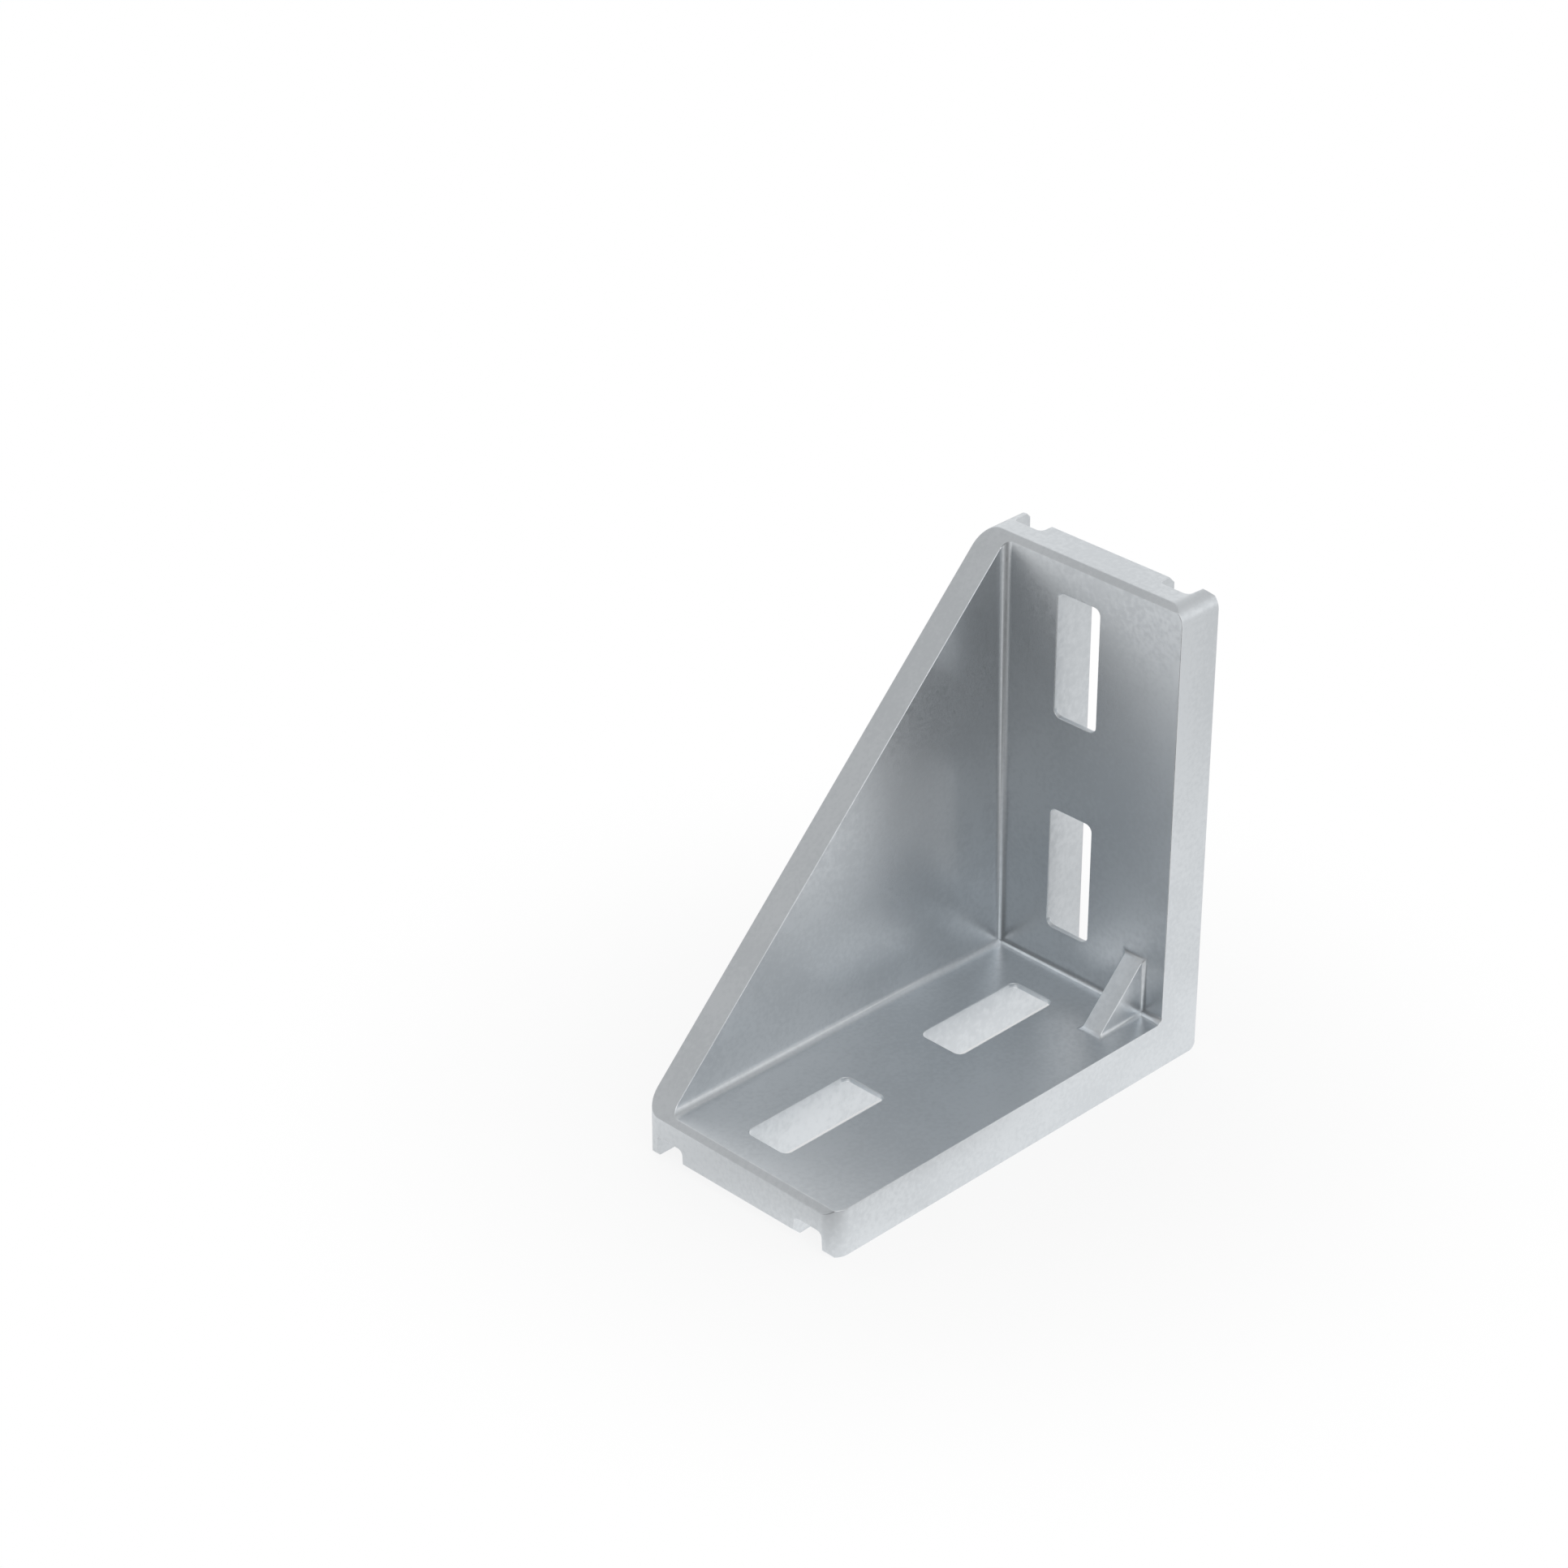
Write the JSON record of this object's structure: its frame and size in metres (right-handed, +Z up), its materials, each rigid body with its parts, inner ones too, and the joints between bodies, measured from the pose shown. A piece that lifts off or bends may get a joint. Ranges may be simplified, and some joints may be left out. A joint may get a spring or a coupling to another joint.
{
  "type": "t slot corner bracket",
  "caption": "Cast right-angle bracket that joins slotted framing profiles, with slotted legs, a full side web and a small corner rib.",
  "frame": {"origin": "on the ground under the middle of the bracket's box, at the level of the lying leg's rims", "axes": "+Z up along the upright leg, +X along the lying leg towards its free end, +Y towards the open side, away from the web"},
  "size_m": [0.08, 0.04, 0.08],
  "materials": {
    "cast_aluminium": "satin as-cast"
  },
  "bodies": {
    "root": {"corner_bracket": "cast_aluminium"}
  },
  "joints": []
}
